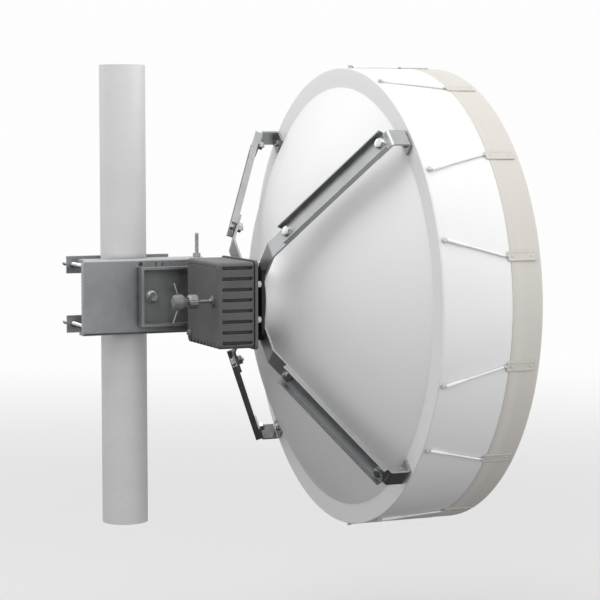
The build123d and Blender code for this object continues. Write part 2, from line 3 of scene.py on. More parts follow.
import json
from math import cos, degrees, pi, radians, sin, tan

import bmesh
import bpy
from mathutils import Matrix, Vector


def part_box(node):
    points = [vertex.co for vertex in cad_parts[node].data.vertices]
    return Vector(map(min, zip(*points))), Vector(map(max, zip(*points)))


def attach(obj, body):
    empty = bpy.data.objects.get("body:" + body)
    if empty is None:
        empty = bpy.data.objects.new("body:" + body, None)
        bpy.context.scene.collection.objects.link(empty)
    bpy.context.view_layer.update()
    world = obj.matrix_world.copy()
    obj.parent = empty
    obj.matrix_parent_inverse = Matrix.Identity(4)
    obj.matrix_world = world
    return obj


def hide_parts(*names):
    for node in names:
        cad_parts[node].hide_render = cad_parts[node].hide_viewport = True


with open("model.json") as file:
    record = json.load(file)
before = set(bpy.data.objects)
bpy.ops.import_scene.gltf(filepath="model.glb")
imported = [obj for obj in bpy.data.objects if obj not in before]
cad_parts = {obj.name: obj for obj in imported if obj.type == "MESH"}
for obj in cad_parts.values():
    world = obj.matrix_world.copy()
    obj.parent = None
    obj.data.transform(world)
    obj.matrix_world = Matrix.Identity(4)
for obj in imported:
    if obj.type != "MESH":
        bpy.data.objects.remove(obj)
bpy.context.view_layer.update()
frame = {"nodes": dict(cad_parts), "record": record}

MM = 0.001
MAST_SIDE, MAST_BACK, DISH_HEIGHT = 212.0, 364.0, 448.0


# ---------------------------------------------------------------- places
def at(x, y, z):
    """A point given from the dish centre, in the row frame, in metres."""
    return Vector((x - MAST_SIDE, y - MAST_BACK, z + DISH_HEIGHT)) * MM


def spin(angle):
    """Unit vector round the dish axis, counted from +X towards +Z."""
    return Vector((cos(radians(angle)), 0, sin(radians(angle))))


def basis(origin, z_axis, x_hint=(1, 0, 0)):
    """A matrix in metres whose Z runs along z_axis, for points given in millimetres."""
    z = Vector(z_axis).normalized()
    x = Vector(x_hint)
    x = x - z * x.dot(z)
    if x.length < 1e-4:
        x = Vector((0, 1, 0)) - z * z.y
    x.normalize()
    y = z.cross(x)
    rotation = Matrix((x, y, z)).transposed().to_4x4()
    return Matrix.Translation(origin) @ rotation @ Matrix.Scale(MM, 4)


# ---------------------------------------------------------------- materials
def link(tree, source, socket):
    tree.links.new(source, socket)


def surface(
    name,
    colour,
    roughness,
    metallic=0.0,
    tone=0.06,
    tone_scale=9.0,
    spangle=0.0,
    spangle_scale=160.0,
    grain=0.15,
    grain_scale=900.0,
    dust=0.0,
    # paler edges: partly worn edges, partly a painted edge highlight
    edge_wear_and_highlight=0.0,
    edge_wear_and_highlight_width=0.0012,
    weave=0.0,
    weave_scale=700.0,
    stretch=(1, 1, 1),
    coat=0.0,
    sheen=0.0,
    bump_height=0.0004,
    # painted shade: darkens the colour in creases, recesses and between parts
    painted_crevice_shade=0.0,
    painted_shade_reach=0.03,
):
    """A procedural finish: blotchy tone, zinc spangle, fine grain, settled dust, paler edges (part wear, part
    painted highlight) and painted shade in crevices.
    """
    material = bpy.data.materials.new(name)
    material.use_nodes = True
    tree = material.node_tree
    shader = tree.nodes["Principled BSDF"]
    shader.inputs["Metallic"].default_value = metallic
    shader.inputs["Coat Weight"].default_value = coat
    shader.inputs["Coat Roughness"].default_value = 0.25
    shader.inputs["Sheen Weight"].default_value = sheen
    shader.inputs["Sheen Roughness"].default_value = 0.5
    place = tree.nodes.new("ShaderNodeTexCoord").outputs["Object"]
    mapping = tree.nodes.new("ShaderNodeMapping")
    mapping.inputs["Scale"].default_value = stretch
    link(tree, place, mapping.inputs["Vector"])
    place = mapping.outputs["Vector"]

    def noise(scale, detail=3.0, rough=0.55):
        texture = tree.nodes.new("ShaderNodeTexNoise")
        texture.inputs["Scale"].default_value = scale
        texture.inputs["Detail"].default_value = detail
        texture.inputs["Roughness"].default_value = rough
        link(tree, place, texture.inputs["Vector"])
        return texture.outputs["Fac"]

    def spread(source, low, high, from_low=0.3, from_high=0.7):
        ranged = tree.nodes.new("ShaderNodeMapRange")
        ranged.inputs["From Min"].default_value = from_low
        ranged.inputs["From Max"].default_value = from_high
        ranged.inputs["To Min"].default_value = low
        ranged.inputs["To Max"].default_value = high
        link(tree, source, ranged.inputs["Value"])
        return ranged.outputs["Result"]

    def math_node(operation, first, second):
        node = tree.nodes.new("ShaderNodeMath")
        node.operation = operation
        for socket, value in zip(node.inputs, (first, second)):
            if isinstance(value, float):
                socket.default_value = value
            else:
                link(tree, value, socket)
        return node.outputs["Value"]

    def mixed(factor, first, second, blend="MIX"):
        node = tree.nodes.new("ShaderNodeMix")
        node.data_type = "RGBA"
        node.blend_type = blend
        for socket, value in ((node.inputs[0], factor), (node.inputs[6], first), (node.inputs[7], second)):
            if isinstance(value, (float, tuple)):
                socket.default_value = value
            else:
                link(tree, value, socket)
        return node.outputs[2]

    dark = tuple(c * (1 - tone) for c in colour) + (1,)
    pale = tuple(min(1, c * (1 + tone)) for c in colour) + (1,)
    blotches = noise(tone_scale, 5.0)
    tint = mixed(spread(blotches, 0.0, 1.0), dark, pale)
    grains = noise(grain_scale, 2.0)
    height = math_node("MULTIPLY", grains, grain)
    rough = spread(noise(tone_scale * 4, 3.0), roughness - 0.05, roughness + 0.06)
    if spangle:
        cells = tree.nodes.new("ShaderNodeTexVoronoi")
        cells.inputs["Scale"].default_value = spangle_scale
        link(tree, place, cells.inputs["Vector"])
        shade = tree.nodes.new("ShaderNodeRGBToBW")
        link(tree, cells.outputs["Color"], shade.inputs["Color"])
        value = spread(shade.outputs["Val"], 1 - spangle, 1 + spangle, 0.1, 0.9)
        speck = spread(noise(spangle_scale * 2.4, 2.0), 1 - spangle * 0.5, 1 + spangle * 0.5)
        both = math_node("MULTIPLY", value, speck)
        scaled = tree.nodes.new("ShaderNodeVectorMath")
        scaled.operation = "SCALE"
        link(tree, tint, scaled.inputs[0])
        link(tree, both, scaled.inputs["Scale"])
        tint = scaled.outputs["Vector"]
        rough = math_node("ADD", rough, spread(shade.outputs["Val"], -spangle, spangle, 0.1, 0.9))
    if weave:
        threads = []
        for direction in ("X", "Z"):
            wave = tree.nodes.new("ShaderNodeTexWave")
            wave.bands_direction = direction
            wave.inputs["Scale"].default_value = weave_scale
            wave.inputs["Distortion"].default_value = 0.4
            link(tree, place, wave.inputs["Vector"])
            threads.append(wave.outputs["Fac"])
        cloth = math_node("MULTIPLY", math_node("ADD", threads[0], threads[1]), 0.5)
        height = math_node("ADD", height, math_node("MULTIPLY", cloth, weave))
        tint = mixed(spread(cloth, 0.0, 0.35, 0.0, 1.0), tint, dark)
    if dust:
        normal = tree.nodes.new("ShaderNodeNewGeometry").outputs["Normal"]
        parts = tree.nodes.new("ShaderNodeSeparateXYZ")
        link(tree, normal, parts.inputs["Vector"])
        upward = spread(parts.outputs["Z"], 0.0, 1.0, 0.2, 1.0)
        patches = spread(noise(38.0, 5.0), 0.2, 1.0)
        amount = math_node("MULTIPLY", math_node("MULTIPLY", upward, patches), dust)
        tint = mixed(amount, tint, (0.52, 0.49, 0.44, 1))
    # painted shade: where ambient occlusion finds nearby parts, the colour is darkened towards near-black
    if painted_crevice_shade:
        occlusion = tree.nodes.new("ShaderNodeAmbientOcclusion")
        occlusion.samples = 8
        occlusion.inputs["Distance"].default_value = painted_shade_reach
        shaded_share = spread(occlusion.outputs["AO"], 1.0, 0.0, 0.25, 0.95)
        amount = math_node("MULTIPLY", shaded_share, spread(noise(60.0, 4.0), 0.7, 1.0))
        painted_shade_tint = tuple(c * 0.12 for c in colour) + (1,)
        tint = mixed(math_node("MULTIPLY", amount, painted_crevice_shade), tint, painted_shade_tint)
    # paler edges found from the bevel normal: partly wear, partly a painted edge highlight
    if edge_wear_and_highlight:
        rounded = tree.nodes.new("ShaderNodeBevel")
        rounded.samples = 4
        rounded.inputs["Radius"].default_value = edge_wear_and_highlight_width
        true_normal = tree.nodes.new("ShaderNodeNewGeometry").outputs["Normal"]
        likeness = tree.nodes.new("ShaderNodeVectorMath")
        likeness.operation = "DOT_PRODUCT"
        link(tree, rounded.outputs["Normal"], likeness.inputs[0])
        link(tree, true_normal, likeness.inputs[1])
        edge = spread(likeness.outputs["Value"], 1.0, 0.0, 0.9, 1.0)
        edge = math_node("MULTIPLY", edge, spread(noise(120.0, 4.0), 0.2, 1.0, 0.35, 0.65))
        worn_and_highlit_tint = tuple(min(1, c * 1.5 + 0.12) for c in colour) + (1,)
        tint = mixed(math_node("MULTIPLY", edge, edge_wear_and_highlight), tint, worn_and_highlit_tint)
    link(tree, tint, shader.inputs["Base Color"])
    link(tree, rough, shader.inputs["Roughness"])
    bump = tree.nodes.new("ShaderNodeBump")
    bump.inputs["Strength"].default_value = 0.6
    bump.inputs["Distance"].default_value = bump_height
    link(tree, height, bump.inputs["Height"])
    link(tree, bump.outputs["Normal"], shader.inputs["Normal"])
    return material


# painted_crevice_shade in a finish paints shade into its creases and recesses
FINISHES = {
    "galvanised_tube": dict(colour=(0.74, 0.74, 0.735), roughness=0.5, metallic=0.15, spangle=0.018,
                            spangle_scale=260.0, tone=0.025, tone_scale=12.0, stretch=(0.6, 0.6, 1.5),
                            dust=0.03,
                            painted_crevice_shade=0.5, painted_shade_reach=0.012),
    "galvanised_sheet": dict(colour=(0.50, 0.51, 0.52), roughness=0.36, metallic=0.85, spangle=0.03,
                             spangle_scale=110.0, tone=0.06, tone_scale=20.0, edge_wear_and_highlight=0.75, edge_wear_and_highlight_width=0.0016,
                             dust=0.05, painted_crevice_shade=0.75, painted_shade_reach=0.05, grain=0.1, grain_scale=500.0,
                             bump_height=0.00004),
    "strut_steel": dict(colour=(0.44, 0.447, 0.453), roughness=0.4, metallic=0.9, spangle=0.025,
                        spangle_scale=110.0, tone=0.06, tone_scale=20.0, edge_wear_and_highlight=0.5, dust=0.04,
                        painted_crevice_shade=0.25, painted_shade_reach=0.02, grain=0.1, grain_scale=500.0, bump_height=0.00004),
    "zinc_fastener": dict(colour=(0.66, 0.67, 0.68), roughness=0.27, metallic=0.95, tone=0.08,
                          tone_scale=60.0, grain=0.2),
    "dish_white": dict(colour=(0.84, 0.842, 0.845), roughness=0.42, tone=0.012, tone_scale=5.0, grain=0.35,
                       grain_scale=420.0, bump_height=0.0003, dust=0.03, coat=0.15, painted_crevice_shade=0.35,
                       painted_shade_reach=0.012),
    "cast_white": dict(colour=(0.83, 0.833, 0.838), roughness=0.45, tone=0.015, tone_scale=14.0, grain=0.6,
                       grain_scale=350.0, edge_wear_and_highlight=0.15, dust=0.03),
    "hub_black": dict(colour=(0.018, 0.018, 0.019), roughness=0.5, tone=0.2, tone_scale=30.0, grain=0.6,
                      grain_scale=500.0, edge_wear_and_highlight=0.3, dust=0.05),
    "radome_fabric": dict(colour=(0.635, 0.605, 0.565), roughness=0.72, tone=0.014, tone_scale=4.0, grain=0.2,
                          grain_scale=1100.0, weave=0.5, weave_scale=210.0, sheen=0.15,
                          bump_height=0.00025, painted_crevice_shade=0.5,
                          painted_shade_reach=0.006),
    "tab_plastic": dict(colour=(0.62, 0.59, 0.55), roughness=0.6, tone=0.03, tone_scale=60.0, grain=0.4,
                        edge_wear_and_highlight=0.2, edge_wear_and_highlight_width=0.0006, painted_crevice_shade=0.45, painted_shade_reach=0.006),
    "cord": dict(colour=(0.93, 0.93, 0.925), roughness=0.6, tone=0.03, tone_scale=200.0, grain=0.3,
                 grain_scale=2500.0, sheen=0.3, bump_height=0.0001),
    "absorber": dict(colour=(0.02, 0.02, 0.022), roughness=0.95, tone=0.3, tone_scale=150.0, grain=1.0,
                     grain_scale=260.0, bump_height=0.002),
    "feed_metal": dict(colour=(0.62, 0.63, 0.64), roughness=0.3, metallic=0.9, tone=0.05, tone_scale=40.0),
    "feed_plastic": dict(colour=(0.80, 0.79, 0.76), roughness=0.4, tone=0.02),
    "radio_cast": dict(colour=(0.118, 0.118, 0.116), roughness=0.52, tone=0.09, tone_scale=26.0, grain=0.8,
                       grain_scale=650.0, edge_wear_and_highlight=0.45, edge_wear_and_highlight_width=0.0016, dust=0.1, painted_crevice_shade=0.9,
                       painted_shade_reach=0.012),
    "gasket": dict(colour=(0.02, 0.02, 0.02), roughness=0.8, tone=0.1),
    "board": dict(colour=(0.03, 0.12, 0.05), roughness=0.4, tone=0.2, tone_scale=90.0),
    "connector_metal": dict(colour=(0.30, 0.30, 0.30), roughness=0.36, metallic=0.7, tone=0.1,
                            tone_scale=70.0, edge_wear_and_highlight=0.3, edge_wear_and_highlight_width=0.0006),
    "connector_plastic": dict(colour=(0.19, 0.19, 0.188), roughness=0.5, tone=0.1, tone_scale=70.0, grain=0.5,
                              edge_wear_and_highlight=0.25, edge_wear_and_highlight_width=0.0006),
    "spacer_white": dict(colour=(0.82, 0.82, 0.80), roughness=0.5, tone=0.03),
}
materials = {name: surface(name, **finish) for name, finish in FINISHES.items()}
slots = {row["node"]: row["material_slot"] for row in frame["record"]["subparts"]}
body_of_node = {
    node: body for body, nodes in frame["record"]["behaviour"]["bodies"].items() for node in nodes
}
for node, thing in frame["nodes"].items():
    thing.data.materials.clear()
    thing.data.materials.append(materials[slots[node]])


# ---------------------------------------------------------------- mesh helpers
class Shape:
    """Collects points in metres and faces, and becomes one piece."""

    def __init__(self):
        self.points, self.faces = [], []

    def ring_strip(self, rings, closed=True, cap_start=False, cap_end=False):
        """Joins rings of equally many points; closed joins each ring's ends."""
        first = len(self.points)
        count = len(rings[0])
        for ring in rings:
            self.points.extend(ring)
        last = count if closed else count - 1
        for row in range(len(rings) - 1):
            base = first + row * count
            for k in range(last):
                n = (k + 1) % count
                self.faces.append((base + k, base + n, base + count + n, base + count + k))
        if cap_start:
            self.faces.append(tuple(reversed(range(first, first + count))))
        if cap_end:
            end = first + (len(rings) - 1) * count
            self.faces.append(tuple(range(end, end + count)))

    def lathe(self, matrix, profile, segments=48, ripple=None, looped=True):
        """Turns (radius, height) points round the matrix's Z axis; a looped profile is a closed ring."""
        rows = list(profile) + ([profile[0]] if looped else [])
        columns = []
        for k in range(segments):
            angle = 2 * pi * k / segments
            column = []
            for radius, height in rows:
                reach = radius + (ripple(angle, radius, height) if ripple else 0.0)
                column.append(matrix @ Vector((reach * cos(angle), reach * sin(angle), height)))
            columns.append(column)
        columns.append(columns[0])
        self.ring_strip(columns, closed=False)

    def build(self, name, node, replaced=None, sharp=32.0):
        """The finished piece, standing for the CAD nodes given, on the first one's body."""
        mesh = bpy.data.meshes.new(name)
        mesh.from_pydata([tuple(p) for p in self.points], [], self.faces)
        bm = bmesh.new()
        bm.from_mesh(mesh)
        bmesh.ops.remove_doubles(bm, verts=bm.verts, dist=2e-6)
        bmesh.ops.dissolve_degenerate(bm, dist=1e-6, edges=bm.edges)
        bmesh.ops.recalc_face_normals(bm, faces=bm.faces)
        shade(bm, sharp)
        bm.to_mesh(mesh)
        bm.free()
        return place(name, mesh, node, replaced)


def shade(bm, sharp):
    """Smooth faces with hard edges where they meet at more than that many degrees."""
    for face in bm.faces:
        face.smooth = True
    for edge in bm.edges:
        edge.smooth = len(edge.link_faces) == 2 and degrees(edge.calc_face_angle(0)) < sharp


def place(name, mesh, node, replaced):
    piece = bpy.data.objects.new(name, mesh)
    bpy.context.scene.collection.objects.link(piece)
    mesh.materials.clear()
    mesh.materials.append(materials[slots[node]])
    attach(piece, body_of_node[node])
    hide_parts(*(replaced or [node]))
    return piece


def softened(points, radius, steps=4, looped=True):
    """The polyline with its corners rounded."""
    out = []
    count = len(points)
    for k, point in enumerate(points):
        if not looped and k in (0, count - 1):
            out.append(point)
            continue
        here = Vector(point)
        before = Vector(points[k - 1]) - here
        after = Vector(points[(k + 1) % count]) - here
        cut = min(radius, before.length * 0.45, after.length * 0.45)
        start = here + before.normalized() * cut
        end = here + after.normalized() * cut
        for step in range(steps + 1):
            t = step / steps
            out.append(tuple(start * (1 - t) ** 2 + here * 2 * t * (1 - t) + end * t**2))
    return out


def rounded_copy(node, width, segments=2, angle=30.0, sharp=40.0):
    """The CAD node's own shape with its edges rounded, standing for it."""
    mesh = frame["nodes"][node].data.copy()
    mesh.name = node + "_shape"
    bm = bmesh.new()
    bm.from_mesh(mesh)
    bmesh.ops.remove_doubles(bm, verts=bm.verts, dist=2e-6)
    bmesh.ops.dissolve_limit(bm, angle_limit=radians(0.4), verts=bm.verts, edges=bm.edges)
    edges = [e for e in bm.edges if len(e.link_faces) == 2 and degrees(e.calc_face_angle(0)) > angle]
    bmesh.ops.bevel(
        bm,
        geom=edges,
        offset=width * MM,
        offset_type="OFFSET",
        segments=segments,
        profile=0.5,
        affect="EDGES",
        clamp_overlap=True,
        miter_outer="ARC",
    )
    bmesh.ops.recalc_face_normals(bm, faces=bm.faces)
    shade(bm, sharp)
    bm.to_mesh(mesh)
    bm.free()
    if "custom_normal" in mesh.attributes:
        mesh.attributes.remove(mesh.attributes["custom_normal"])
    piece = place(node + "_formed", mesh, node, [node])
    even = piece.modifiers.new("even_faces", "WEIGHTED_NORMAL")
    even.keep_sharp = True
    even.weight = 90
    return piece


# ---------------------------------------------------------------- fasteners
def hexagon_radius(angle, across):
    """Distance to a hexagon's side in that direction."""
    return across / 2 / cos((angle + pi / 6) % (pi / 3) - pi / 6)


def hex_block(shape, matrix, across, height, bore=0.0, low_chamfer=False, turn=0.0, crown=0.0):
    """A hexagon head or nut with its corners turned off by a 30 degree chamfer."""
    land = across / 2 * 0.93
    fall = tan(radians(30))
    sides = 72
    rings = []
    for level in ("foot_in", "foot", "head", "head_in", "top"):
        ring = []
        for k in range(sides):
            angle = 2 * pi * k / sides
            reach = hexagon_radius(angle + turn, across)
            drop = max(0.0, reach - land) * fall
            if level == "foot_in":
                r, z = (land if low_chamfer else reach - 0.3), 0.0
            elif level == "foot":
                r, z = reach, (drop if low_chamfer else 0.3)
            elif level == "head":
                r, z = reach, height - drop
            elif level == "head_in":
                r, z = land, height
            else:
                r, z = (bore + 0.7 if bore else land * 0.35), height + crown
            ring.append(matrix @ Vector((r * cos(angle), r * sin(angle), z)))
        rings.append(ring)
    if bore:
        for z in (height - 0.6, 0.6):
            rings.append([
                matrix @ Vector((bore * cos(2 * pi * k / sides), bore * sin(2 * pi * k / sides), z))
                for k in range(sides)
            ])
        wide = bore + 0.6
        foot = [
            matrix @ Vector((wide * cos(2 * pi * k / sides), wide * sin(2 * pi * k / sides), 0))
            for k in range(sides)
        ]
        rings.append(foot)
        rings.append(rings[0])
        shape.ring_strip(rings)
    else:
        shape.ring_strip(rings, cap_start=True, cap_end=True)


def thread(shape, matrix, radius, length, pitch, segments=20, start=0.0, end_chamfer=1.0):
    """A threaded shank: turned ridges with chamfered ends, closed at both."""
    depth = pitch * 0.5
    profile = [(0.0, start), (radius - end_chamfer, start)]
    z = start + end_chamfer
    while z + pitch < start + length - end_chamfer:
        profile += [(radius - depth, z), (radius, z + pitch * 0.42), (radius, z + pitch * 0.58)]
        z += pitch
    profile += [(radius - depth, z), (radius - end_chamfer, start + length), (0.0, start + length)]
    shape.lathe(matrix, profile, segments, looped=False)


def turned(shape, matrix, profile, soft, steps, segments, ripple=None):
    """A turned solid that reaches its axis at both ends, with softened corners."""
    shape.lathe(matrix, softened(profile, soft, steps, looped=False), segments, ripple, looped=False)


def washer(shape, matrix, outer, inner, thick):
    profile = softened([(inner, 0), (outer, 0), (outer, thick), (inner, thick)], 0.35, 2)
    shape.lathe(matrix, profile, 48)


HEX_8, HEX_10, HEX_12 = 13.0, 17.0, 19.0  # across flats, for M8, M10 and M12
PITCH_8, PITCH_10, PITCH_12 = 1.25, 1.5, 1.75
UP, SIDE, BACK, AHEAD = (0, 0, 1), (1, 0, 0), (0, 1, 0), (0, -1, 0)
STAY_ANGLES = (45, 135, 225, 315)

# ---------------------------------------------------------------- mast
MAST_RADIUS, MAST_WALL, MAST_LENGTH = 44.45, 3.2, 893.0
upright = basis((0, 0, 0), (0, 0, 1))
pipe = Shape()
pipe.lathe(
    upright,
    softened(
        [(MAST_RADIUS - MAST_WALL, 0), (MAST_RADIUS, 0), (MAST_RADIUS, MAST_LENGTH),
         (MAST_RADIUS - MAST_WALL, MAST_LENGTH)],
        0.9,
    ),
    128,
)
pipe.build("mast_pipe", "mast")

# ---------------------------------------------------------------- sheet metal
for node in ("pole_bracket", "tilt_bracket"):
    rounded_copy(node, 0.7)
for node in ("upper_strap", "lower_strap"):
    rounded_copy(node, 0.8)

# ---------------------------------------------------------------- clamp studs, washers and nuts
STUD_START, STUD_LENGTH, CAP_START, WASHER_FACE, NUT_FACE = 144.3, 162.7, 144.25, 250.0, 252.0
STUD_PLACES = [(MAST_BACK + side * 91.0, level * 58.0) for side in (-1, 1) for level in (-1, 1)]
studs, washers, nuts, caps = Shape(), Shape(), Shape(), Shape()
for k, (back, height) in enumerate(STUD_PLACES):
    thread(studs, basis(at(STUD_START, back, height), SIDE), 5.0, STUD_LENGTH, PITCH_10)
    washer(washers, basis(at(WASHER_FACE, back, height), SIDE), 10.5, 5.3, 2.0)
    nut_place = basis(at(NUT_FACE, back, height), SIDE)
    hex_block(nuts, nut_place, HEX_10, 8.4, bore=5.0, low_chamfer=True, turn=0.3 * k)
    turned(
        caps, basis(at(CAP_START, back, height), SIDE),
        [(0, 0), (5.4, 0), (5.4, 0.7), (0, 0.7)],
        0.15, 1, 32,
    )
studs.build("stud_threads", "clamp_studs")
caps.build("stud_weld_caps", "pole_bracket")
washers.build("stud_washers", "clamp_washers")
nuts.build("stud_nuts", "clamp_nuts")

# ---------------------------------------------------------------- pivot
PIVOT = (331.0, 0.0)
HEAD_FACE = 137.2
bolt = Shape()
hex_block(bolt, basis(at(HEAD_FACE, *PIVOT), (-1, 0, 0)), HEX_12, 7.5, crown=-0.4)
thread(bolt, basis(at(HEAD_FACE, *PIVOT), SIDE), 6.0, 29.0, PITCH_12)
bolt.build("pivot_bolt_head", "pivot_bolt")
rings = Shape()
washer(rings, basis(at(HEAD_FACE, *PIVOT), SIDE), 12.0, 6.3, 1.7)
washer(rings, basis(at(150.3, *PIVOT), SIDE), 12.0, 6.3, 2.0)
rings.build("pivot_rings", "pivot_washers")
nut = Shape()
hex_block(nut, basis(at(152.3, *PIVOT), SIDE), HEX_12, 10.0, bore=6.0, low_chamfer=True)
nut.build("pivot_nut_formed", "pivot_nut")

# ---------------------------------------------------------------- fine adjustment
ROD = (157.0, 232.0)
EYE_WIDE, EYE_OUTER, EYE_BORE = 9.0, 12.0, 6.2
rod = Shape()
thread(rod, basis(at(*ROD, 10.5), UP), 4.0, 109.5, PITCH_8, end_chamfer=0.8)
eye = softened(
    [(EYE_BORE, 0), (EYE_OUTER, 0), (EYE_OUTER, EYE_WIDE), (EYE_BORE, EYE_WIDE)], 1.2, 3
)
rod.lathe(basis(at(152.5, ROD[1], 0), SIDE), eye, 56)
rod.build("adjuster_rod_formed", "adjuster_rod")
pin = Shape()
turned(
    pin, basis(at(139.2, ROD[1], 0), SIDE),
    [(0, 0), (4, 0), (4, 4.8), (8, 4.8), (8, 12.5), (4, 12.5), (4, 23.1), (8, 23.1),
     (8, 26.4), (7, 27.3), (0, 27.3)],
    0.4, 2, 48,
)
pin.build("adjuster_pin_formed", "adjuster_pin")
pair = Shape()
hex_block(pair, basis(at(*ROD, 73.0), UP, BACK), HEX_8, 8.0, bore=4.2, low_chamfer=True)
hex_block(pair, basis(at(*ROD, 67.0), (0, 0, -1), BACK), HEX_8, 8.0, bore=4.2, low_chamfer=True)
pair.build("adjuster_nut_pair", "adjuster_nuts")

# ---------------------------------------------------------------- hub
TILT_FRONT, PLATE_FRONT, BOLT_SIDE = 189.0, 183.0, 105
DISH_DEEP, DISH_EDGE = 143.0, 400.0


def bowl(radius):
    """How far the reflector's back stands behind the rim plane."""
    return DISH_DEEP * (1 - (radius / DISH_EDGE) ** 2)


rim_plane = basis(at(0, 0, 0), BACK)
boss = Shape()
flare = []
for step in range(25):
    t = step / 24
    weights = ((1 - t) ** 3, 3 * t * (1 - t) ** 2, 3 * t**2 * (1 - t), t**3)
    pull_points = ((112, bowl(112)), (88, bowl(112) + 5.6), (70, 145), (70, 167))
    flare.append(tuple(sum(w * point[axis] for w, point in zip(weights, pull_points)) for axis in (0, 1)))
boss_profile = (
    [(30 + 82 * k / 12, bowl(30 + 82 * k / 12)) for k in range(13)]
    + flare[1:]
    + softened([(70, 167), (70, 179), (38, 179), (38, 183), (30, 183)], 1.6, 3, looped=False)[1:]
)
boss.lathe(rim_plane, boss_profile, 128)
boss.build("hub_casting", "hub_boss")
rounded_copy("hub_plate", 0.6)

heads = Shape()
for height in (-45, -15, 15, 45):
    hex_block(heads, basis(at(BOLT_SIDE, 193.8, height), BACK), HEX_8, 5.3, turn=0.02 * height)
    thread(heads, basis(at(BOLT_SIDE, PLATE_FRONT, height), BACK), 4.0, 10.8, PITCH_8)
    hex_block(heads, basis(at(BOLT_SIDE, PLATE_FRONT, height), AHEAD), HEX_8, 6.5, turn=0.1)
heads.build("bracket_bolt_heads", "bracket_bolts")

screws = Shape()
for angle in STAY_ANGLES:
    where = basis(at(0, TILT_FRONT, 0) + spin(angle) * 56 * MM, BACK)
    turned(
        screws, where,
        [(0, 1.2), (2.0, 1.2), (2.4, 3.3), (4.6, 3.3), (5.5, 1.6), (5.5, 0), (3, 0),
         (3, -9.8), (0, -9.8)],
        0.4, 2, 36,
    )
screws.build("arm_screw_heads", "arm_screws")

# ---------------------------------------------------------------- stays
STRUT_INNER, STRUT_OUTER = Vector((187.4, 161.0)), Vector((413.7, 50.0))
STRUT_SPAN = (STRUT_OUTER - STRUT_INNER).length
ALONG = (STRUT_OUTER - STRUT_INNER) / STRUT_SPAN
NORMAL = Vector((-ALONG.y, ALONG.x))
for number in range(1, 5):
    rounded_copy(f"hub_arm_{number}", 0.6)
    rounded_copy(f"strut_{number}", 0.6)
    rounded_copy(f"rim_bracket_{number}", 0.6)


def on_strut(angle, distance, lift):
    flat = STRUT_INNER + ALONG * distance + NORMAL * lift
    outwards = spin(angle)
    origin = at(0, flat.y, 0) + outwards * flat.x * MM
    away = outwards * NORMAL.x + Vector((0, NORMAL.y, 0))
    return origin, away


bolts, backs = Shape(), Shape()
for angle in STAY_ANGLES:
    for distance in (0.0, STRUT_SPAN):
        origin, away = on_strut(angle, distance, 1.5)
        washer(bolts, basis(origin, away), 10.0, 5.3, 1.8)
        head, _ = on_strut(angle, distance, 3.3)
        hex_block(bolts, basis(head, away), HEX_10, 6.4, turn=0.4 * distance + angle)
        thread(bolts, basis(head, -away), 5.0, 19.8, PITCH_10)
        under, _ = on_strut(angle, distance, -5.5)
        hex_block(backs, basis(under, -away), HEX_10, 8.0, bore=5.0, low_chamfer=True, turn=angle)
bolts.build("strut_bolt_heads", "strut_bolts")
backs.build("strut_bolt_nuts", "strut_nuts")
rim_heads = Shape()
RIM_BOLT_CIRCLE = 416
for angle in STAY_ANGLES:
    where = at(0, 4.0, 0) + spin(angle) * RIM_BOLT_CIRCLE * MM
    hex_block(rim_heads, basis(where, BACK), HEX_8, 5.3, turn=angle)
    thread(rim_heads, basis(where, AHEAD), 4.0, 9.0, PITCH_8)
rim_heads.build("rim_bolt_heads", "rim_bolts")

# ---------------------------------------------------------------- reflector and shroud
RIM, SHEET, LIP = 437.0, 2.5, 408.0
ROUND = 256
dish_curve = [(30 + 370 * k / 60, bowl(30 + 370 * k / 60)) for k in range(61)]
front_curve = [(r, y - SHEET) for r, y in reversed(dish_curve)]
rim_lip = softened(
    [(DISH_EDGE, 0), (406, -0.2), (RIM - 1, 0), (RIM, -0.8), (RIM, -SHEET), (402, -SHEET)],
    0.8, 3, looped=False,
)
dish = Shape()
dish.lathe(
    rim_plane,
    dish_curve
    + rim_lip[1:]
    + front_curve,
    ROUND,
)
dish.build("reflector_skin", "reflector", sharp=28)

SEAM, SKIRT_END, STEP, INNER = -137.0, -193.6, 2.7, 434.5
band = Shape()
band.lathe(
    rim_plane,
    softened(
        [(LIP, -SHEET), (RIM, -SHEET), (RIM, SEAM), (RIM - STEP, SEAM), (RIM - STEP, SKIRT_END),
         (INNER - STEP, SKIRT_END), (INNER - STEP, SEAM + 2.5), (INNER, SEAM + 2.5), (INNER, -2 * SHEET),
         (LIP, -2 * SHEET)],
        0.9,
    ),
    ROUND,
)
band.build("shroud_band", "shroud", sharp=28)

# ---------------------------------------------------------------- radome, a stretched fabric cover
FRONT, FLAT_RADIUS, SKIRT_DEEP = -199.6, 430.0, 0.063
TABS = 14
CLOTH = 1.3


def pull(angle, radius, height):
    """The skirt's edge draws in a little between the tabs."""
    share = max(0.0, min(1.0, (height - (FRONT + 12)) / 50.0))
    wave = 0.5 - 0.5 * cos(TABS * (angle - pi / 2))
    return -0.35 * wave * share if radius > FLAT_RADIUS else 0.0


def cover_profile(offset):
    """Outer line of the cover from the middle of the front to the hem, moved inwards by offset."""
    line = []
    for k in range(40):
        radius = FLAT_RADIUS * k / 39
        sag = 2.2 * (1 - (radius / FLAT_RADIUS) ** 2)
        line.append((radius, FRONT + 0.35 + sag + offset))
    line += [(431.2, FRONT + offset), (432.4, FRONT + 0.1 + offset)]
    for k in range(1, 9):
        angle = pi / 2 * k / 8
        line.append((432 + (5 - offset) * sin(angle), FRONT + 5 - (5 - offset) * cos(angle)))
    line += [(RIM - offset, FRONT + 8), (RIM - offset, -166), (RIM - offset, -151)]
    return line


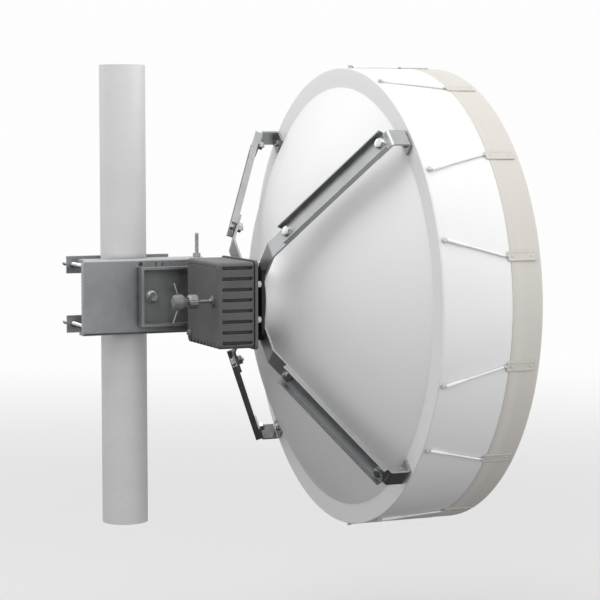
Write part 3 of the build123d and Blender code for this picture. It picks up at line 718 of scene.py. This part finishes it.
HEM = [(RIM + 0.5, -150.4), (RIM + 0.5, -138.4), (RIM + 0.1, SEAM - 0.1), (RIM - 1.6, SEAM - 0.1)]
cover = Shape()
cover.lathe(
    basis(at(0, 0, 0), BACK, (1, 0, 0)),
    cover_profile(0.0) + HEM + list(reversed(cover_profile(CLOTH))),
    TABS * 18,
    ripple=pull,
    looped=False,
)
radome = cover.build("radome_cover", "radome", sharp=50)

# tabs: moulded strips with a raised border and a round button near each end
TAB_WIDE, TAB_FRONT, TAB_BACK = 18.0, -189.0, -131.0


def rounded_rectangle(width, length, radius, steps=5):
    """Points of a rounded rectangle about the origin."""
    out = []
    radius = max(0.05, min(radius, width / 2 - 0.01, length / 2 - 0.01))
    for cx, cy, start in (
        (width / 2 - radius, length / 2 - radius, 0),
        (-width / 2 + radius, length / 2 - radius, 90),
        (-width / 2 + radius, -length / 2 + radius, 180),
        (width / 2 - radius, -length / 2 + radius, 270),
    ):
        for k in range(steps + 1):
            a = radians(start + 90 * k / steps)
            out.append((cx + radius * cos(a), cy + radius * sin(a)))
    return out


def slab(shape, matrix, width, length, radius, levels):
    """A rounded block through (height, inset) levels."""
    rings = []
    for height, inset in levels:
        outline = rounded_rectangle(width - 2 * inset, length - 2 * inset, radius - inset)
        rings.append([matrix @ Vector((x, y, height)) for x, y in outline])
    shape.ring_strip(rings, cap_start=True, cap_end=True)


# paler zinc strip along the bracket's open end: a painted highlight where that edge catches the light
END_HIGHLIGHT_DEEP, CHANNEL_INSIDE = 13.0, 134.0
bracket_low, bracket_high = (Vector(corner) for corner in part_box("pole_bracket"))
end_highlight_strip = Shape()
end_highlight_centre = Vector((bracket_low.x + (END_HIGHLIGHT_DEEP / 2 + 0.4) * MM, bracket_high.y - 1.2 * MM, DISH_HEIGHT * MM))
slab(
    end_highlight_strip,
    basis(end_highlight_centre, BACK),
    END_HIGHLIGHT_DEEP,
    CHANNEL_INSIDE,
    1.5,
    [(0.0, 0.3), (0.3, 0.0), (1.4, 0.0), (1.8, 0.4)],
)
end_highlight_piece = end_highlight_strip.build("bracket_end_highlight", "pole_bracket")
# painted highlight: the strip takes the paler, shinier fastener finish
end_highlight_piece.data.materials[0] = materials["zinc_fastener"]

tabs = Shape()
for k in range(TABS):
    angle = 90 + k * 360 / TABS
    outwards = spin(angle)
    middle = at(0, (TAB_FRONT + TAB_BACK) / 2, 0) + outwards * (RIM + 0.55) * MM
    where = basis(middle, outwards, outwards.cross(Vector(BACK)))
    slab(tabs, where, TAB_WIDE, TAB_BACK - TAB_FRONT, 3.5,
         [(-0.4, 0.0), (1.1, 0.0), (1.6, 0.25), (1.75, 0.8), (1.75, 2.6), (1.3, 3.1), (1.25, 4.0)])
    for side in (-1, 1):
        button = basis(middle + Vector(BACK) * side * 19 * MM, outwards)
        turned(tabs, button, [(0, 2.1), (2.6, 2.0), (3.1, 1.2), (3.1, 0.9), (0, 0.9)], 0.4, 2, 24)
tabs.build("radome_tab_strips", "radome_tabs")

# cords: twisted, from each tab's hook to its anchor
CORD, LEAN, CORD_FRONT, CORD_BACK = 2.0, 4.0, -125.0, -15.0


def rope(shape, start, end, radius, strands=3, turn=13.0):
    """A straight twisted rope whose outline has one lobe for each strand."""
    run = end - start
    length = run.length / MM
    matrix = basis(start, run)
    rings = []
    rows = int(length / 1.1)
    sides = strands * 8
    for row in range(rows + 1):
        z = length * row / rows
        ring = []
        for k in range(sides):
            angle = 2 * pi * k / sides
            lobe = abs(cos(strands * angle / 2))
            reach = radius * (0.84 + 0.16 * lobe**0.7)
            twist = angle + 2 * pi * z / turn
            ring.append(matrix @ Vector((reach * cos(twist), reach * sin(twist), z)))
        rings.append(ring)
    shape.ring_strip(rings, cap_start=True, cap_end=True)


cords, hooks, anchors = Shape(), Shape(), Shape()
for k in range(TABS):
    lean = -LEAN if k % 2 == 0 else LEAN
    angle = 90 + k * 360 / TABS
    line = (RIM + CORD + 0.3) * MM
    front = at(0, CORD_FRONT, 0) + spin(angle) * line
    back = at(0, CORD_BACK, 0) + spin(angle - lean) * line
    rope(cords, front, back, CORD)
    run = (front - back).length / MM
    turned(
        cords, basis(back, front - back),
        [(0, 0), (2.9, 0), (2.9, 0.22 * run), (2.1, 0.34 * run), (0, 0.34 * run)],
        0.8, 3, 24,
    )
    hook = basis(at(0, CORD_FRONT - 5.9, 0) + spin(angle) * line, BACK)
    turned(hooks, hook, [(0, 0), (2.2, 0), (2.2, 5.2), (0, 5.2)], 0.5, 3, 28)
    knob = basis(at(0, CORD_BACK + 5.3, 0) + spin(angle - lean) * RIM * MM, spin(angle - lean))
    turned(
        anchors, knob,
        [(0, 0), (4.5, 0), (4.5, 1.1), (2.9, 1.7), (2.9, 4.0), (4.2, 4.6), (4.2, 5.7), (0, 6.0)],
        0.5, 3, 32,
    )
cords.build("tension_ropes", "tension_cords", sharp=80)
hooks.build("cord_ferrules", "cord_hooks")
anchors.build("cord_cleats", "cord_anchors")

# ---------------------------------------------------------------- radio
HALF_WIDE, HALF_TALL, CORNER, RADIO_DROP = 84.5, 80.0, 7.0, -4.0
RADIO_FRONT, RADIO_BACK = 209.0, 279.0
FIN_PITCH, FIN_GAP, FIN_DEEP, LIP_SOFT = 19.8, 2.5, 6.0, 0.9
TOOTH_PITCH, TOOTH_GAP, TOOTH_DEEP = 18.4, 4.4, 7.6
SIDE_GROOVES = [FIN_PITCH * (k - 3.5) for k in range(8)]
FOOT_GROOVES = [TOOTH_PITCH * (k - 3.5) for k in range(8)]
LIP_STEPS = (1.0, 0.6, 0.2, -0.2, -0.6, -1.0)


def dip(value, centres, gap):
    """1 in the middle of a groove, 0 outside, with rounded lips."""
    near = min(abs(value - c) for c in centres)
    share = max(0.0, min(1.0, (gap + LIP_SOFT - near) / (2 * LIP_SOFT)))
    return share * share * (3 - 2 * share)


def groove_samples(centres, gap, end):
    """Places along one side that catch every lip."""
    out = {-end, end}
    for centre in centres:
        for step in LIP_STEPS:
            out.update((centre - gap - LIP_SOFT * step, centre + gap + LIP_SOFT * step))
    return sorted(v for v in out if -end <= v <= end)


def housing_outline():
    """(x, z, inward x share, inward z share) round the housing, anticlockwise."""
    wide, tall = HALF_WIDE - CORNER, HALF_TALL - CORNER
    side = [(z, dip(z, SIDE_GROOVES, FIN_GAP)) for z in groove_samples(SIDE_GROOVES, FIN_GAP, tall)]
    far_side = [(-z, dip(-z, SIDE_GROOVES, FIN_GAP)) for z, _ in side]
    foot = [(x, dip(x, FOOT_GROOVES, TOOTH_GAP)) for x in groove_samples(FOOT_GROOVES, TOOTH_GAP, wide)]
    out = [(HALF_WIDE, z, -share, 0.0) for z, share in side]
    quarter = [pi / 2 * k / 6 for k in range(1, 6)]
    out += [(wide + CORNER * cos(a), tall + CORNER * sin(a), 0.0, 0.0) for a in quarter]
    out += [(-x, HALF_TALL, 0.0, 0.0) for x, _ in foot]
    out += [(-wide - CORNER * sin(a), tall + CORNER * cos(a), 0.0, 0.0) for a in quarter]
    out += [(-HALF_WIDE, z, share, 0.0) for z, share in far_side]
    out += [(-wide - CORNER * cos(a), -tall - CORNER * sin(a), 0.0, 0.0) for a in quarter]
    out += [(x, -HALF_TALL, 0.0, share) for x, share in foot]
    out += [(wide + CORNER * sin(a), -tall - CORNER * cos(a), 0.0, 0.0) for a in quarter]
    return out


FIN_START, FIN_END = RADIO_FRONT + 4.0, RADIO_BACK - 8.0
# each row: (y, inset, share of the side grooves, share of the notches)
housing_rows = [
    (RADIO_FRONT, 1.6, 0.0, 0.0),
    (RADIO_FRONT, 0.8, 0.0, 0.0),
    (RADIO_FRONT + 0.8, 0.0, 0.0, 0.0),
]
for step, share in ((-0.9, 0.0), (-0.5, 0.16), (0.0, 0.5), (0.5, 0.84), (0.9, 1.0)):
    housing_rows.append((FIN_START + step, 0.0, share, share))
for step, share in ((-0.9, 1.0), (-0.5, 0.84), (0.0, 0.5), (0.5, 0.16), (0.9, 0.0)):
    housing_rows.append((FIN_END + step, 0.0, share, 1.0))
for y, inset in ((-4.4, 0.0), (-3.2, 0.3), (-2.0, 1.0), (-1.0, 2.0), (-0.3, 3.2), (0.0, 4.4), (0.0, 8.0),
                 (-0.3, 8.3), (-1.0, 8.5), (-1.0, 9.7), (-0.3, 9.9), (0.0, 10.2), (0.0, 13.0)):
    housing_rows.append((RADIO_BACK + y, inset, 0.0, 1.0 if inset < 6 else 0.0))
outline = housing_outline()
housing = Shape()
housing_rings = []
for y, inset, share, tooth_share in housing_rows:
    ring_points = []
    for x, z, in_x, in_z in outline:
        x = x * (1 - inset / HALF_WIDE) + in_x * FIN_DEEP * share
        z = z * (1 - inset / HALF_TALL) + max(0.0, in_z * TOOTH_DEEP * tooth_share - inset)
        ring_points.append(at(x, y, z + RADIO_DROP))
    housing_rings.append(ring_points)
housing.ring_strip(housing_rings, cap_start=True, cap_end=True)
for x in (-76.0, 76.0):
    for z in (-69.0, 69.0):
        turned(
            housing, basis(at(x, RADIO_BACK - 1.4, z + RADIO_DROP), BACK),
            [(0, 0.9), (1.3, 0.9), (1.6, 2.2), (3.4, 2.0), (3.7, 1.2), (3.7, 0), (0, 0)],
            0.3, 2, 28,
        )
housing.build("radio_case", "radio_housing", sharp=34)
rounded_copy("radio_flange", 0.9)
spacers = Shape()
for x in (-66, 66):
    for z in (-33, 33):
        turned(
            spacers, basis(at(x, TILT_FRONT, z), BACK),
            [(0, 0), (6, 0), (6, 13), (0, 13)],
            0.6, 3, 40,
        )
spacers.build("radio_spacer_posts", "radio_spacers")
flange_heads = Shape()
for x in (-78.5, 78.5):
    for z in (-78.0, 70.0):
        hex_block(flange_heads, basis(at(x, 202.0, z), AHEAD), 8.0, 3.5)
flange_heads.build("flange_screw_heads", "flange_screws")

# ---------------------------------------------------------------- plug on the radio's back
PLUG_X, PLUG_Z, STEM_END = -56.0, 4.0, 309.0


def plug_at(y):
    return basis(at(PLUG_X, y, PLUG_Z), BACK)


stem = Shape()
hex_block(stem, plug_at(RADIO_BACK), 18.0, 4.0)
turned(
    stem, plug_at(RADIO_BACK),
    [(0, 4.0), (5.2, 4.0), (5.2, 6.2), (3.5, 7.4), (3.5, 30), (6, 30), (6, 44), (0, 44)],
    0.5, 3, 40,
)
stem.build("plug_stem", "connector_stem")


def knurl(angle, radius, height):
    return -0.75 * (0.5 - 0.5 * cos(18 * angle)) if radius > 11.5 else 0.0


ring = Shape()
ring.lathe(
    plug_at(STEM_END + 0.5),
    softened([(6.3, 0), (10.5, 0), (13, 2.6), (13, 16.5), (10.8, 20), (6.3, 20)], 1.2, 4),
    144,
    ripple=knurl,
)
ring.build("plug_ring", "coupling_nut")

shell = Shape()
turned(
    shell, plug_at(STEM_END),
    [(0, 14), (5.8, 14), (5.8, 23), (10, 27), (14, 32), (14, 45), (10, 49), (0, 49)],
    2.2, 5, 64,
    ripple=lambda a, r, z: -0.5 * (0.5 - 0.5 * cos(8 * a)) if r > 13 else 0.0,
)
shell.build("plug_shell", "connector_body")

wires = Shape()
for lift, back, side in ((34, 4, 6), (-38, 10, -4)):
    foot = at(PLUG_X, STEM_END + 40, PLUG_Z + (14.5 if lift > 0 else -14.5))
    tip = at(PLUG_X + side, STEM_END + 40 + back, PLUG_Z + lift)
    run = (tip - foot).length / MM
    turned(wires, basis(foot, tip - foot), [(0, 0), (1.3, 0), (1.3, run), (0, run)], 0.5, 3, 20)
wires.build("plug_wires", "retaining_wires")
vent = Shape()
turned(
    vent, basis(at(66, RADIO_BACK, -66), BACK),
    [(0, 0), (7, 0), (7, 3.4), (6.2, 4), (4, 4), (4, 7), (0, 7)],
    0.5, 3, 48,
    ripple=lambda a, r, z: -0.4 * (0.5 - 0.5 * cos(12 * a)) if r > 6.5 else 0.0,
)
vent.build("vent_cap", "vent_plug")

# ---------------------------------------------------------------- studio
FLOOR = -0.33
stage_mesh = bpy.data.meshes.new("studio")
bm = bmesh.new()
rows = []
steps = [(r, FLOOR) for r in (0.0, 1.0, 2.0, 3.0, 4.5, 6.0, 7.5)]
steps += [(7.5 + 3.0 * sin(a), FLOOR + 3.0 * (1 - cos(a))) for a in [pi / 2 * k / 12 for k in range(1, 13)]]
steps += [(10.5, 9.0)]
for radius, height in steps:
    rows.append([
        bm.verts.new((-0.2 + radius * cos(2 * pi * k / 96), -0.2 + radius * sin(2 * pi * k / 96), height))
        for k in range(96)
    ])
for low, high in zip(rows, rows[1:]):
    for k in range(96):
        n = (k + 1) % 96
        bm.faces.new((low[k], low[n], high[n], high[k]))
bmesh.ops.remove_doubles(bm, verts=bm.verts, dist=1e-5)
for face in bm.faces:
    face.smooth = True
bm.to_mesh(stage_mesh)
bm.free()
studio = bpy.data.objects.new("studio", stage_mesh)
bpy.context.scene.collection.objects.link(studio)
paper = bpy.data.materials.new("studio_paper")
paper.use_nodes = True
tree = paper.node_tree
shader = tree.nodes["Principled BSDF"]
shader.inputs["Roughness"].default_value = 0.9
shader.inputs["Base Color"].default_value = (0.68, 0.68, 0.68, 1)
shader.inputs["Specular IOR Level"].default_value = 0.1
glow = tree.nodes.new("ShaderNodeEmission")
glow.inputs["Color"].default_value = (1.0, 1.0, 1.0, 1)
glow.inputs["Strength"].default_value = 0.985
place_node = tree.nodes.new("ShaderNodeTexCoord")
reach = tree.nodes.new("ShaderNodeVectorMath")
reach.operation = "LENGTH"
fade = tree.nodes.new("ShaderNodeMapRange")
fade.interpolation_type = "SMOOTHSTEP"
fade.inputs["From Min"].default_value = 1.2
fade.inputs["From Max"].default_value = 6.0
blend = tree.nodes.new("ShaderNodeMixShader")
link(tree, place_node.outputs["Object"], reach.inputs[0])
link(tree, reach.outputs["Value"], fade.inputs["Value"])
link(tree, fade.outputs["Result"], blend.inputs[0])
link(tree, shader.outputs[0], blend.inputs[1])
link(tree, glow.outputs[0], blend.inputs[2])
link(tree, blend.outputs[0], tree.nodes["Material Output"].inputs["Surface"])
stage_mesh.materials.append(paper)

SKY_LOW, SKY_HIGH = 0.24, 0.97
MIRROR_LOW, MIRROR_HIGH = 0.03, 1.1
world = bpy.data.worlds.new("studio_world")
bpy.context.scene.world = world
world.use_nodes = True
tree = world.node_tree
direction = tree.nodes.new("ShaderNodeTexCoord").outputs["Generated"]
parts = tree.nodes.new("ShaderNodeSeparateXYZ")
link(tree, direction, parts.inputs["Vector"])
choice = tree.nodes.new("ShaderNodeMix")
link(tree, tree.nodes.new("ShaderNodeLightPath").outputs["Is Glossy Ray"], choice.inputs[0])
for socket, reach, low, high in ((2, 0.75, SKY_LOW, SKY_HIGH), (3, 0.55, MIRROR_LOW, MIRROR_HIGH)):
    sky = tree.nodes.new("ShaderNodeMapRange")
    sky.interpolation_type = "SMOOTHSTEP"
    sky.inputs["From Min"].default_value, sky.inputs["From Max"].default_value = -reach, reach
    sky.inputs["To Min"].default_value, sky.inputs["To Max"].default_value = low, high
    link(tree, parts.outputs["Z"], sky.inputs["Value"])
    link(tree, sky.outputs["Result"], choice.inputs[socket])
tree.nodes["Background"].inputs["Color"].default_value = (1, 1, 1, 1)
link(tree, choice.outputs[0], tree.nodes["Background"].inputs["Strength"])
studio.visible_diffuse = False
studio.visible_glossy = False


def softbox(name, where, aim, size, power):
    lamp = bpy.data.lights.new(name, "AREA")
    lamp.shape = "RECTANGLE"
    lamp.size, lamp.size_y = size
    lamp.energy = power
    light = bpy.data.objects.new(name, lamp)
    bpy.context.scene.collection.objects.link(light)
    light.location = where
    light.rotation_euler = (Vector(aim) - Vector(where)).to_track_quat("-Z", "Y").to_euler()
    return light


CENTRE = Vector((-0.2, -0.2, 0.45))
softbox("key", (-0.9, 0.8, 3.4), CENTRE, (2.0, 2.0), 36)
softbox("side", (-1.9, -3.1, 1.1), CENTRE, (2.4, 2.4), 27)
softbox("rear", (2.4, 1.8, 2.0), CENTRE, (2.0, 2.0), 14)
low_fill = softbox("low_fill", (-3.0, -0.6, 0.1), CENTRE - Vector((0, 0, 0.45)), (1.6, 0.8), 9)
low_fill.visible_glossy = False

# ---------------------------------------------------------------- camera
camera_data = bpy.data.cameras.new("camera")
camera = bpy.data.objects.new("camera", camera_data)
bpy.context.scene.collection.objects.link(camera)
camera_data.sensor_width = 36.0
camera_data.lens = 118.0
camera_data.clip_start, camera_data.clip_end = 0.05, 100.0
camera.location = (-3.6518, 1.2030, 0.7505)
AIM = Vector((-0.255, -0.265, 0.447))
camera.rotation_euler = (AIM - camera.location).to_track_quat("-Z", "Y").to_euler()
bpy.context.scene.camera = camera
bpy.context.scene.view_settings.view_transform = "Standard"

bpy.context.view_layer.update()
